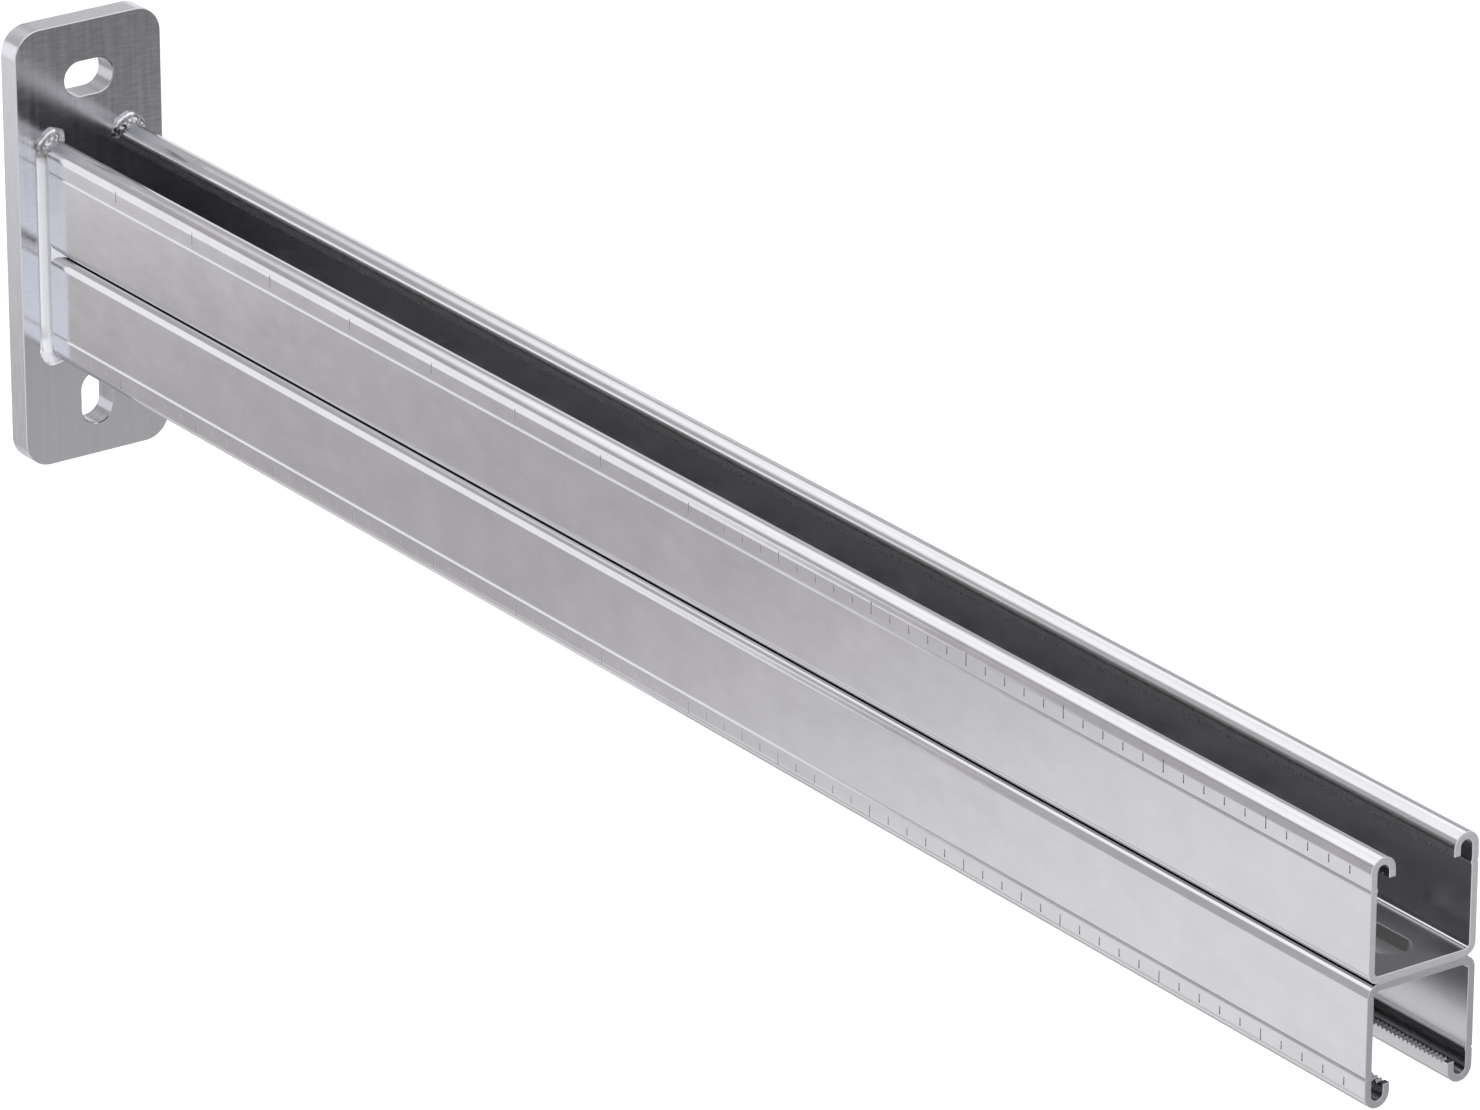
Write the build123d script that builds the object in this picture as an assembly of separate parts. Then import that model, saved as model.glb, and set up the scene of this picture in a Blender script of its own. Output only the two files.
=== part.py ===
from build123d import *
import os

# Cantilever strut arm: two C channels back to back, welded to a slotted base plate.
# The origin is the centre of the plate's back face, +X runs along the arm, +Z is up.
# All sizes are in millimetres.

# Base plate
PLATE_THICKNESS = 10.0
PLATE_WIDTH = 60.0
PLATE_HEIGHT = 165.0
PLATE_CORNER_RADIUS = 10.0
PLATE_EDGE_RADIUS = 0.5
ANCHOR_SLOT_WIDTH = 13.0
ANCHOR_SLOT_LENGTH = 20.0
ANCHOR_SLOT_SPACING = 122.0

# Channels
ARM_LENGTH = 750.0
CHANNEL_WIDTH = 41.0
CHANNEL_HEIGHT = 41.0
SHEET = 2.5
WEB_CORNER_RADIUS = 4.2
LIP_WIDTH = 9.4
LIP_DEPTH = 7.3

# Line pressed into each side wall, measured down from the open edge
GROOVE_DROP = 10.4
GROOVE_WIDTH = 1.2
GROOVE_DEPTH = 0.35

# Slots punched through both webs
WEB_SLOT_LENGTH = 30.0
WEB_SLOT_WIDTH = 14.0
WEB_SLOT_PITCH = 50.0
WEB_SLOT_END_MARGIN = 9.0

# Fillet welds between the channels and the plate
WELD_ARM_LEG = 3.9
WELD_PLATE_LEG = 2.9
WELD_BULGE = 0.5
WELD_ROOT = 0.6
WELD_TAIL = 0.8
NOTCH_FILL_DEPTH = 3.0
NOTCH_FILL_REACH = 8.0

# Worked out from the sizes above
HALF_WIDTH = CHANNEL_WIDTH / 2
LIP_RADIUS = LIP_WIDTH / 2
LIP_CENTRE_HEIGHT = CHANNEL_HEIGHT - LIP_RADIUS
LIP_TIP_HEIGHT = CHANNEL_HEIGHT - LIP_DEPTH
GROOVE_HEIGHT = CHANNEL_HEIGHT - GROOVE_DROP
ARM_END = PLATE_THICKNESS + ARM_LENGTH
WEB_SLOT_COUNT = int(ARM_LENGTH // WEB_SLOT_PITCH)


def make_base_plate():
    """Flat bar with round corners, one level slot above the arm and one upright below."""
    outline = RectangleRounded(PLATE_WIDTH, PLATE_HEIGHT, PLATE_CORNER_RADIUS)
    plate = extrude(Plane.YZ * outline, amount=PLATE_THICKNESS)
    plate = fillet(plate.faces().sort_by(Axis.X)[-1].outer_wire().edges(), PLATE_EDGE_RADIUS)
    level_slot = SlotOverall(ANCHOR_SLOT_LENGTH, ANCHOR_SLOT_WIDTH)
    upright_slot = SlotOverall(ANCHOR_SLOT_LENGTH, ANCHOR_SLOT_WIDTH, rotation=90)
    slots = Pos(0, ANCHOR_SLOT_SPACING / 2) * level_slot + Pos(0, -ANCHOR_SLOT_SPACING / 2) * upright_slot
    return plate - extrude(Plane.YZ * slots, amount=PLATE_THICKNESS)


def half_profile():
    """Right half of the channel's section: web, side wall with its pressed line, and lip."""
    web_edge = HALF_WIDTH - WEB_CORNER_RADIUS
    inner_wall = HALF_WIDTH - SHEET
    lip_face = HALF_WIDTH - LIP_WIDTH
    lip_back = lip_face + SHEET
    lip_centre = HALF_WIDTH - LIP_RADIUS
    half_groove = GROOVE_WIDTH / 2
    with BuildLine() as line:
        Line((0, 0), (web_edge, 0))
        RadiusArc((web_edge, 0), (HALF_WIDTH, WEB_CORNER_RADIUS), -WEB_CORNER_RADIUS)
        Polyline(
            (HALF_WIDTH, WEB_CORNER_RADIUS),
            (HALF_WIDTH, GROOVE_HEIGHT - half_groove),
            (HALF_WIDTH - GROOVE_DEPTH, GROOVE_HEIGHT),
            (HALF_WIDTH, GROOVE_HEIGHT + half_groove),
            (HALF_WIDTH, LIP_CENTRE_HEIGHT),
        )
        ThreePointArc(
            (HALF_WIDTH, LIP_CENTRE_HEIGHT),
            (lip_centre, CHANNEL_HEIGHT),
            (lip_face, LIP_CENTRE_HEIGHT),
        )
        Polyline(
            (lip_face, LIP_CENTRE_HEIGHT),
            (lip_face, LIP_TIP_HEIGHT),
            (lip_back, LIP_TIP_HEIGHT),
            (lip_back, LIP_CENTRE_HEIGHT),
        )
        ThreePointArc(
            (lip_back, LIP_CENTRE_HEIGHT),
            (lip_centre, CHANNEL_HEIGHT - SHEET),
            (inner_wall, LIP_CENTRE_HEIGHT),
        )
        Polyline(
            (inner_wall, LIP_CENTRE_HEIGHT),
            (inner_wall, GROOVE_HEIGHT + GROOVE_WIDTH),
            (inner_wall - GROOVE_DEPTH, GROOVE_HEIGHT),
            (inner_wall, GROOVE_HEIGHT - GROOVE_WIDTH),
            (inner_wall, WEB_CORNER_RADIUS),
        )
        RadiusArc((inner_wall, WEB_CORNER_RADIUS), (web_edge, SHEET), WEB_CORNER_RADIUS - SHEET)
        Line((web_edge, SHEET), (0, SHEET))
        Line((0, SHEET), (0, 0))
    return make_face(line.edges())


def web_slot_centres():
    """Distances along X of the slots, counted back from the free end."""
    last = ARM_END - WEB_SLOT_END_MARGIN - WEB_SLOT_LENGTH / 2
    return [last - index * WEB_SLOT_PITCH for index in range(WEB_SLOT_COUNT)]


def make_upper_channel():
    """C channel with its open side up and its web on the seam plane."""
    half = half_profile()
    section = half + mirror(half, about=Plane.YZ)
    channel = extrude(Plane.YZ.offset(PLATE_THICKNESS) * section, amount=ARM_LENGTH)
    slots = Sketch() + [
        Pos(centre, 0) * SlotOverall(WEB_SLOT_LENGTH, WEB_SLOT_WIDTH) for centre in web_slot_centres()
    ]
    return channel - extrude(slots, amount=SHEET)


def weld_path(side):
    """Line that the weld follows round the outside of both channels on one side of the arm."""
    wall = side * HALF_WIDTH
    lip_face = side * (HALF_WIDTH - LIP_WIDTH)
    lip_centre = side * (HALF_WIDTH - LIP_RADIUS)
    x = PLATE_THICKNESS
    upper_tail = Line((x, lip_face, LIP_CENTRE_HEIGHT - WELD_TAIL), (x, lip_face, LIP_CENTRE_HEIGHT))
    upper_lip = ThreePointArc(
        (x, lip_face, LIP_CENTRE_HEIGHT),
        (x, lip_centre, CHANNEL_HEIGHT),
        (x, wall, LIP_CENTRE_HEIGHT),
    )
    wall_run = Line((x, wall, LIP_CENTRE_HEIGHT), (x, wall, -LIP_CENTRE_HEIGHT))
    lower_lip = ThreePointArc(
        (x, wall, -LIP_CENTRE_HEIGHT),
        (x, lip_centre, -CHANNEL_HEIGHT),
        (x, lip_face, -LIP_CENTRE_HEIGHT),
    )
    lower_tail = Line((x, lip_face, -LIP_CENTRE_HEIGHT), (x, lip_face, WELD_TAIL - LIP_CENTRE_HEIGHT))
    return Wire([upper_tail, upper_lip, wall_run, lower_lip, lower_tail])


def weld_section(side):
    """Convex fillet at the start of the path, with a root that reaches into plate and lip."""
    lip_face = side * (HALF_WIDTH - LIP_WIDTH)
    start = Plane(
        origin=(PLATE_THICKNESS, lip_face, LIP_CENTRE_HEIGHT - WELD_TAIL),
        x_dir=(0, -side, 0),
        z_dir=(0, 0, side),
    )
    plate_toe = Vector(WELD_PLATE_LEG, 0)
    arm_toe = Vector(0, WELD_ARM_LEG)
    way_out = Vector(WELD_ARM_LEG, WELD_PLATE_LEG).normalized()
    crown = (plate_toe + arm_toe) / 2 + way_out * WELD_BULGE
    with BuildLine() as line:
        Polyline(
            arm_toe,
            (-WELD_ROOT, WELD_ARM_LEG),
            (-WELD_ROOT, -WELD_ROOT),
            (WELD_PLATE_LEG, -WELD_ROOT),
            plate_toe,
        )
        ThreePointArc(plate_toe, crown, arm_toe)
    return start * make_face(line.edges())


def make_notch_fill(side):
    """Weld metal run into the V between the two round web corners."""
    wall = side * HALF_WIDTH
    deep = side * (HALF_WIDTH - NOTCH_FILL_DEPTH)
    root = PLATE_THICKNESS - WELD_ROOT
    toe = PLATE_THICKNESS + WELD_ARM_LEG
    outline = Polyline(
        (root, wall),
        (toe, wall),
        (toe + NOTCH_FILL_REACH, deep),
        (root, deep),
        close=True,
    )
    return extrude(make_face(outline.edges()), amount=SHEET, both=True)


def make_weld(side, neighbours):
    """Bead with its notch fill, cut back so that it seats on the plate and channels."""
    bead = sweep(weld_section(side), path=weld_path(side)) + make_notch_fill(side)
    for neighbour in neighbours:
        bead = bead - neighbour
    return bead


def build_parts():
    base_plate = make_base_plate()
    upper_channel = make_upper_channel()
    lower_channel = mirror(upper_channel, about=Plane.XY)
    steel = [base_plate, upper_channel, lower_channel]
    return {
        "base_plate": base_plate,
        "upper_channel": upper_channel,
        "lower_channel": lower_channel,
        "weld_near_side": make_weld(-1, steel),
        "weld_far_side": make_weld(1, steel),
    }


os.makedirs("parts", exist_ok=True)
for name, solid in build_parts().items():
    export_step(solid, f"parts/{name}.step")
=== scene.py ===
import math
from collections import namedtuple

import bpy
import bmesh
from mathutils import Matrix, Vector, noise


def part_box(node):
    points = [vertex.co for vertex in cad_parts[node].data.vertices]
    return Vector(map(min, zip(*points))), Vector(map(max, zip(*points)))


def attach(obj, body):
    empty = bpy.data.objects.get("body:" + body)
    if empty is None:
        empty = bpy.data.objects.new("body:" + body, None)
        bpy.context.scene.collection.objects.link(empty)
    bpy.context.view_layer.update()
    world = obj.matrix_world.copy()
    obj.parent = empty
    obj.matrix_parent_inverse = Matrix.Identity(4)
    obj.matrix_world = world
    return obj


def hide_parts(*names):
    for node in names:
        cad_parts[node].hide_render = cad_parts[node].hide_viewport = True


# Looks of the cantilever strut arm: two zinc-coated channels, a slotted base plate and their welds.
# Shapes are worked out in millimetres in the frame's axes, and turned to metres when a mesh is made.
# The camera, the floor and the lights are in metres.

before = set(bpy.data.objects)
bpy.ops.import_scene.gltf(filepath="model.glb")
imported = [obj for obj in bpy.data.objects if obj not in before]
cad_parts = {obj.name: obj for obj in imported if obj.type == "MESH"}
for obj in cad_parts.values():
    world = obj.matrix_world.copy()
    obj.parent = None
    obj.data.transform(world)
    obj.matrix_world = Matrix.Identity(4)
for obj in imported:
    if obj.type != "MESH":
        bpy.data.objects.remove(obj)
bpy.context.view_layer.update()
MM = 0.001


def millimetres(corner):
    """A corner of a node's box in millimetres."""
    return [value / MM for value in corner]


def metres(zone):
    """The start and end of a zone in metres."""
    return [value * MM for value in zone]


# Sizes read from the frame, from the far corners of two boxes
PLATE_FACE, PLATE_HALF_WIDTH, PLATE_HALF_HEIGHT = millimetres(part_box("base_plate")[1])
ARM_END, HALF_WIDTH, CHANNEL_HEIGHT = millimetres(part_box("upper_channel")[1])

# Channel section
SHEET = 2.5
WEB_CORNER_RADIUS = 4.2
LIP_RADIUS = 4.7
LIP_MIDDLE = HALF_WIDTH - LIP_RADIUS
LIP_CENTRE = CHANNEL_HEIGHT - LIP_RADIUS
LIP_DEPTH = 7.3
LIP_TIP = CHANNEL_HEIGHT - LIP_DEPTH
LIP_FACE = HALF_WIDTH - 2 * LIP_RADIUS
CORNER_STEPS = 10
LIP_STEPS = 32
MOUTH_STEPS = 4
CUT_EDGE = 0.18
STRIP_START = PLATE_FACE
STRIP_END = ARM_END - CUT_EDGE

# Line pressed into each side wall
GROOVE_DROP = 10.4
GROOVE_HEIGHT = CHANNEL_HEIGHT - GROOVE_DROP
GROOVE_HALF_WIDTH = 0.6
RIDGE_HALF_WIDTH = 1.2
GROOVE_DEPTH = 0.35

# Scale engraved between the pressed line and the lip
TICK_PITCH = 10.0
TICK_COUNT = 74
TICKS_TO_LONG = 5
TICK_HALF_WIDTH = 0.25
TICK_SLOPE = 0.02
TICK_DEPTH = 0.5
TICK_RAMP = 0.1
FAINT_TICKS = (360.0, 680.0)
FAINTEST_SHORT = 0.12
FAINTEST_LONG = 0.3
SHORT_TICK = (33.2, 36.0)
LONG_TICK = (33.0, 36.85)
TICK_LIP_ROWS = 4

# Teeth pressed into the tips of the lips
TOOTH_PITCH = 2.0
TOOTH_DEPTH = 0.95
TOOTH_FLAT = 0.4

# Slots through both webs
SLOT_LENGTH = 30.0
SLOT_WIDTH = 14.0
SLOT_PITCH = 50.0
SLOT_END_MARGIN = 9.0
SLOT_CHAMFER = 0.15
SLOT_ARC_STEPS = 12

# Base plate
PLATE_CORNER_RADIUS = 10.0
PLATE_EDGE_RADIUS = 0.3
PLATE_EDGE_STEPS = 4
PLATE_BACK_CHAMFER = 0.3
PLATE_CORNER_STEPS = 24
ANCHOR_SLOT_LENGTH = 20.0
ANCHOR_SLOT_WIDTH = 13.0
ANCHOR_SLOT_HEIGHT = 61.0
ANCHOR_CHAMFER = 0.3

# Welds: legs on the plate and along the arm by the height, or by the angle round a lip
COLUMN_PLATE_LEG = [(-36.3, 2.6), (-28, 2.1), (36.3, 2.1)]
COLUMN_ARM_LEG = [(-36.3, 3.9), (-33, 4.4), (33, 4.4), (36.3, 3.9)]
NEAR_LIP = {
    "plate": [(0, 2.0), (25, 3.0), (50, 2.7), (95, 4.1), (120, 3.8), (150, 1.2)],
    "arm": [(0, 3.9), (90, 4.0), (125, 3.4), (156, 1.8)],
    "end": 156,
    "tail": 0.0,
    "last_lump": 108,
}
FAR_LIP = {
    "plate": [(0, 2.0), (45, 2.8), (85, 3.6), (120, 2.9), (180, 2.5)],
    "arm": [(0, 3.9), (45, 2.4), (75, 4.2), (105, 4.0), (180, 2.2)],
    "end": 180,
    "tail": 0.8,
    "last_lump": 160,
}
LOWER_LIP = {
    "plate": [(0, 2.6), (30, 3.4), (65, 4.2), (100, 3.3), (135, 2.3), (180, 1.4)],
    "arm": [(0, 3.9), (90, 3.7), (180, 3.0)],
    "end": 180,
    "tail": 0.8,
}
WELD_ROOT = 0.3
WELD_END = 2.0
BLUNT_END = 0.03
WELD_STEPS = 20
LIP_STEP = 0.2
COLUMN_STEP = 0.6

# Roundness of a bead's section: 2 is a round bead, 1 a straight fillet, and less a hollow one
COLUMN_POWER = 0.8
LIP_POWER = 1.9
RING_END_POWER = 1.2

# Relief of a bead round an upper lip. A name in _AT holds a hump's centre and width in degrees.
# They are taken round the lip for the neck, and round the bead's own section for the rest.
RING_START = 4
RING_BLEND = 30
LUMP_PITCH = 1.7
LUMP_SWAY = 3
LUMP_BLEND = 20
NECK_DEPTH = 0.16
NECK_AT = (8, 7)
TOE_HEIGHT = 0.3
TOE_AT = (16, 12)
CREASE_DEPTH = 0.6
CREASE_AT = (43, 7)
LUMP_LEAST = 0.1
LUMP_HEIGHT = 0.35
LUMPS_AT = (64, 13)

# Noise over a bead: its height, and the scales of the place where it is read
WANDER_HEIGHT = 0.05
WANDER_SCALES = (0.11, 7.3, 2.0)
SWAY_SCALES = (0.4, 1.0, 5.0)
ROUGH_HEIGHT = 0.15
ROUGH_SCALES = (0.9, 0.06, 3.0)
PATCH_SCALES = (1.2, 0.05, 9.0)

# Heat staining and painted shade on a bead, as shares from 0 to 1, with places in degrees or, for the shade
# at the neck, as a height. The patches are staining; the crease, the gaps between lumps, the tube's plate
# side and the neck are painted shade.
PATCH_SHARE = 0.3
SHADED_CREASE_AT = (44, 8)
SHADED_LUMPS_AT = (62, 12)
LUMP_SHARE = 0.5
TUBE_SHADE_SHARE = 0.2
TUBE_SHADE_AT = (55, 25)
TUBE_SHADE_STOP = 35
TUBE_SHADE_BLEND = 10
NECK_SHADE_AT = (37.0, 1.7)
NECK_SHADE_STOP = 30
NECK_SHADE_BLEND = 15

# Weld metal in the V between the webs
FILL_DEPTH = 3.2
FILL_REACH = 8.0
FILL_HALF_HEIGHT = 0.8 * WEB_CORNER_RADIUS
FILL_OVERLAP = 0.4
FILL_SETBACK = 0.05
FILL_HOLLOW = 0.25
FILL_BACK = 0.6
FILL_ROWS = 12
FILL_COLUMNS = 8

# Meshes: digits of a millimetre to which corners merge, and angles from which an edge is sharp
MERGE_DIGITS = 4
SHARP_ANGLE = 24.0
BEAD_SHARP_ANGLE = 50.0

# Keeps a corner of an inset outline from moving more than twice the distance
MITRE_LIMIT = 0.5

# Finishes of a channel or plate, as places in its list of materials. The materials inside the channels and
# in the plate's slots are darker copies, as painted shade.
ROLLED = 0
CUT = 1
INSIDE = 2
PUNCHED = 3
LIP_INSIDE = 4
PLATE_SLOT = 2

# Zones of the strip's colour: heights from the seam, or places along the arm. The seam and the strip near
# the plate are darkened as painted shade, and the lips' crests are darker next to the weld.
SEAM_TOP = (0.05, 0.15)
SEAM_FOOT = (-0.5, -0.4)
DRAWN_LIP = (37.0, 38.0)
DARK_CREST = (38.5, 39.5)
DARK_CREST_LENGTH = (18.0, 34.0)
NEAR_PLATE_SHADE_LENGTH = (35.0, 70.0)
DARK_CREST_SHARE = 0.7
DRAWN_SHARE = 0.15
DRAWN_GREY = (0.3, 0.3, 0.31)
DARK_CREST_GREY = (0.25, 0.26, 0.29)
# Grey of the painted shade inside the channel near the plate
NEAR_PLATE_SHADE_GREY = (0.06, 0.06, 0.07)
# Grey of the painted shade in the seam
SEAM_SHADE_GREY = (0.02, 0.02, 0.02)

# Heights on the plate between which its grain gets clear, and its greys
GRAIN_FADE = (-50.0, 10.0)
PLATE_GREYS = ((0.53, 0.53, 0.545), (0.65, 0.65, 0.675))

# Greys of the weld, and the brown of its heat staining and painted shade
WELD_GREYS = ((0.72, 0.73, 0.74), (0.8, 0.81, 0.83))
WELD_BROWN = (0.2, 0.18, 0.17)

# Range in which most values of a noise lie
NOISE_MIDDLE = (0.3, 0.7)

# Camera: angles in degrees, places in metres, and the lens and sensor in millimetres
VIEW_AZIMUTH = 54.70617
VIEW_ELEVATION = 22.64952
VIEW_ROLL = 0.073
VIEW_DISTANCE = 3.034897
VIEW_TARGET = Vector((0.409715, 0.0, 0.013889))
VIEW_LENS = 227.76
SENSOR_WIDTH = 36.0
CLIP_START = 0.05
CLIP_END = 100.0

# Floor
FLOOR_HEIGHT = -1.3
FLOOR_SIZE = 60.0
FLOOR_GREY = (0.8, 0.8, 0.8)
FLOOR_GLOW = 0.5

# World: colours of its light, and where they change, by height or by likeness to one direction
WORLD_LIGHT = (0.62, 0.6, 0.62)
LOW_LIGHT = (1.0, 0.98, 1.0)
LOW_EDGE = (-0.56, -0.66)
SHADE_LIGHT = (0.27, 0.27, 0.28)
SHADE_WAY = Vector((0.8, 0.48, -0.355)).normalized()
SHADE_EDGE = (0.8, 0.96)
BACKGROUND = (1.0, 1.0, 1.0)

# Light panels: name, corner, first and second side, strength, rims and colour
WHITE = (0.99, 0.99, 1.03)
BLUE = (0.93, 0.98, 1.06)
PLAIN = (1.0, 1.0, 1.0)
PANELS = [
    (
        "side_softbox", (-2.56, -1.454, -1.17), (0.827, -0.538, 0), (0, 0, 2.25), 1.34,
        (0.11, 0.1, 0.13, 0.13), WHITE,
    ),
    (
        "top_softbox", (-3.12, -2.8, 2.25), (5.09, 0, 0), (0, 5.6, 0), 1.5,
        (0.17, 0.05, 0.05, 0.05), WHITE,
    ),
    (
        "low_softbox", (-1.85, -3.6, -1.1), (3.4, 0, 0), (0, 3.0, 0), 1.08,
        (0.2, 0.2, 0.2, 0.2), WHITE,
    ),
    (
        "low_spot", (0.1, -3.1, -1.06), (1.4, 0, 0), (0, 1.1, 0), 1.4,
        (0.4, 0.2, 0.3, 0.3), WHITE,
    ),
    (
        "front_softbox", (1.4, -2.3, -1.12), (1.9, 0, 0), (0, 2.8, 0), 1.15,
        (0.3, 0.1, 0.2, 0.1), BLUE,
    ),
    (
        "front_spot", (1.5, -2.25, -1.08), (1.4, 0, 0), (0, 1.4, 0), 2.1,
        (0.35, 0.35, 0.35, 0.35), BLUE,
    ),
    (
        "camera_softbox", (2.0, -2.3, 2.2), (1.3, 0, -1.5), (0, 4.2, 0), 1.12,
        (0.08, 0.08, 0.08, 0.08), WHITE,
    ),
    (
        "lip_softbox", (3.5, -2.0, -0.2), (-0.9, -1.1, 0), (0, 0, 1.6), 1.8,
        (0.2, 0.2, 0.25, 0.2), WHITE,
    ),
    (
        "back_softbox", (-3.4, 1.5, -0.4), (2.25, 0, 0), (0, 0, 1.6), 1.05,
        (0.25, 0.25, 0.2, 0.3), WHITE,
    ),
    (
        "low_card", (0.22, -0.05, -0.15), (0.39, 0.65, 0), (0, 0, -0.5), 0.58,
        (0.05, 0.05, 0.05, 0.05), PLAIN,
    ),
]


class Shell:
    """Gathers faces by the places of their corners, and merges corners that coincide.

    Turn is -1 for a piece that is drawn upside down.
    """

    def __init__(self, turn=1):
        self.turn = turn
        self.points = []
        self.faces = []
        self.finishes = []
        self.known = {}
        self.stains_and_shade = {}

    def corner(self, point):
        """Number of the corner at a place, which is new if no corner is there yet."""
        x, y, z = point
        turned = (x, y, self.turn * z)
        key = tuple(round(value, MERGE_DIGITS) for value in turned)
        if key not in self.known:
            self.known[key] = len(self.points)
            self.points.append([value * MM for value in turned])
        return self.known[key]

    def stain_and_shade(self, point, share):
        """Marks a corner as darkened by heat staining and painted shade, from 0 to 1."""
        self.stains_and_shade[self.corner(point)] = share

    def face(self, points, finish=ROLLED):
        """One face, unless so many of its corners coincide that it has no area."""
        corners = []
        for point in points:
            corner = self.corner(point)
            if corner not in corners:
                corners.append(corner)
        if len(corners) > 2:
            self.faces.append(corners)
            self.finishes.append(finish)

    def strip(self, line_a, line_b, finish=ROLLED):
        """One flat face between two lines of points that run the same way."""
        self.face(list(line_a) + list(reversed(line_b)), finish)

    def ladder(self, line_a, line_b, finish=ROLLED):
        """A row of four-sided faces between two lines with the same number of points."""
        for index in range(len(line_a) - 1):
            corners = [line_a[index], line_a[index + 1], line_b[index + 1], line_b[index]]
            self.face(corners, finish)

    def build(self, name, materials, sharp_angle=SHARP_ANGLE):
        """A Blender object of all the faces, with smooth shading between its sharp edges."""
        mesh = bpy.data.meshes.new(name)
        mesh.from_pydata(self.points, [], self.faces)
        for material in materials:
            mesh.materials.append(material)
        mesh.polygons.foreach_set("material_index", self.finishes)
        turned = bmesh.new()
        turned.from_mesh(mesh)
        bmesh.ops.recalc_face_normals(turned, faces=turned.faces)
        turned.to_mesh(mesh)
        turned.free()
        if self.stains_and_shade:
            shares = [self.stains_and_shade.get(index, 0.0) for index in range(len(self.points))]
            mesh.attributes.new("stain_and_shade", "FLOAT", "POINT").data.foreach_set("value", shares)
        mesh.shade_smooth()
        mesh.set_sharp_from_angle(angle=math.radians(sharp_angle))
        piece = bpy.data.objects.new(name, mesh)
        bpy.context.scene.collection.objects.link(piece)
        weighted = piece.modifiers.new("even_normals", "WEIGHTED_NORMAL")
        weighted.keep_sharp = True
        return piece


def arc(centre, radius, start, stop, steps):
    """Points of an arc in a plane, with angles in degrees."""
    points = []
    for index in range(steps + 1):
        angle = math.radians(start + (stop - start) * index / steps)
        points.append((centre[0] + radius * math.cos(angle), centre[1] + radius * math.sin(angle)))
    return points


def inset(outline, distance):
    """A closed outline moved inwards, for an outline that runs anticlockwise."""
    moved = []
    count = len(outline)
    for index, point in enumerate(outline):
        here = Vector(point)
        first = (here - Vector(outline[index - 1])).normalized()
        second = (Vector(outline[(index + 1) % count]) - here).normalized()
        normal = Vector((-first.y - second.y, first.x + second.x)).normalized()
        spread = max(normal.dot(Vector((-first.y, first.x))), MITRE_LIMIT)
        moved.append(tuple(here + normal * distance / spread))
    return moved


def smooth_step(value):
    """0 below 0, 1 above 1, and an even curve between."""
    value = min(max(value, 0.0), 1.0)
    return value * value * (3 - 2 * value)


def hump(value, centre, width):
    """A smooth hump of height 1 at the centre."""
    return math.exp(-(((value - centre) / width) ** 2))


def between(table, place):
    """Value at a place in a list of (place, value), with even curves between them."""
    if place <= table[0][0]:
        return table[0][1]
    for (start, low), (stop, high) in zip(table, table[1:]):
        if place <= stop:
            return low + (high - low) * smooth_step((place - start) / (stop - start))
    return table[-1][1]


def noise_at(place, scales):
    """Noise from about -1 to 1 at a place of three numbers, each with its own scale."""
    return noise.noise(Vector([value * scale for value, scale in zip(place, scales)]))


def tick_centres():
    """Places along the arm of the engraved lines, with a flag for the long ones."""
    return [
        (ARM_END - TICK_PITCH * number, number % TICKS_TO_LONG == 0)
        for number in range(TICK_COUNT, 0, -1)
    ]


def tick_depth(centre, height, is_long):
    """Depth of an engraved line at a height above the seam: the lines are faint near the plate."""
    low, high = LONG_TICK if is_long else SHORT_TICK
    rise = min((height - low) / TICK_RAMP, (high - height) / TICK_RAMP, 1.0)
    start, stop = FAINT_TICKS
    least = FAINTEST_LONG if is_long else FAINTEST_SHORT
    strength = least + (1 - least) * smooth_step((centre - start) / (stop - start))
    return TICK_DEPTH * strength * max(rise, 0.0)


def plain_line(y, z):
    """A straight line along the strip."""
    return [(STRIP_START, y, z), (STRIP_END, y, z)]


def tick_line(y, z, outward):
    """A line along the strip that dips into every engraved line which crosses it."""
    points = [(STRIP_START, y, z)]
    for centre, is_long in tick_centres():
        depth = tick_depth(centre, z, is_long)
        deep = (y - outward[0] * depth, z - outward[1] * depth)
        points.append((centre - TICK_HALF_WIDTH, y, z))
        points.append((centre - TICK_HALF_WIDTH + TICK_SLOPE, *deep))
        points.append((centre + TICK_HALF_WIDTH - TICK_SLOPE, *deep))
        points.append((centre + TICK_HALF_WIDTH, y, z))
    points.append((STRIP_END, y, z))
    return points


def tooth_line(y):
    """Edge of a lip's tip, with a V cut between each two teeth."""
    half_cut = (TOOTH_PITCH - TOOTH_FLAT) / 2
    points = [(STRIP_START, y, LIP_TIP)]
    for number in range(int((ARM_END - PLATE_FACE) / TOOTH_PITCH)):
        valley = PLATE_FACE + TOOTH_PITCH * (number + 0.5)
        points.append((valley - half_cut, y, LIP_TIP))
        points.append((valley, y, LIP_TIP + TOOTH_DEPTH))
        points.append((valley + half_cut, y, LIP_TIP))
    points.append((STRIP_END, y, LIP_TIP))
    return points


def wall_outline():
    """Outside of half the section: web corner, side wall and the pressed line."""
    corner_centre = (HALF_WIDTH - WEB_CORNER_RADIUS, WEB_CORNER_RADIUS)
    return arc(corner_centre, WEB_CORNER_RADIUS, -90, 0, CORNER_STEPS) + [
        (HALF_WIDTH, GROOVE_HEIGHT - GROOVE_HALF_WIDTH),
        (HALF_WIDTH - GROOVE_DEPTH, GROOVE_HEIGHT),
        (HALF_WIDTH, GROOVE_HEIGHT + GROOVE_HALF_WIDTH),
    ]


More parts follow.
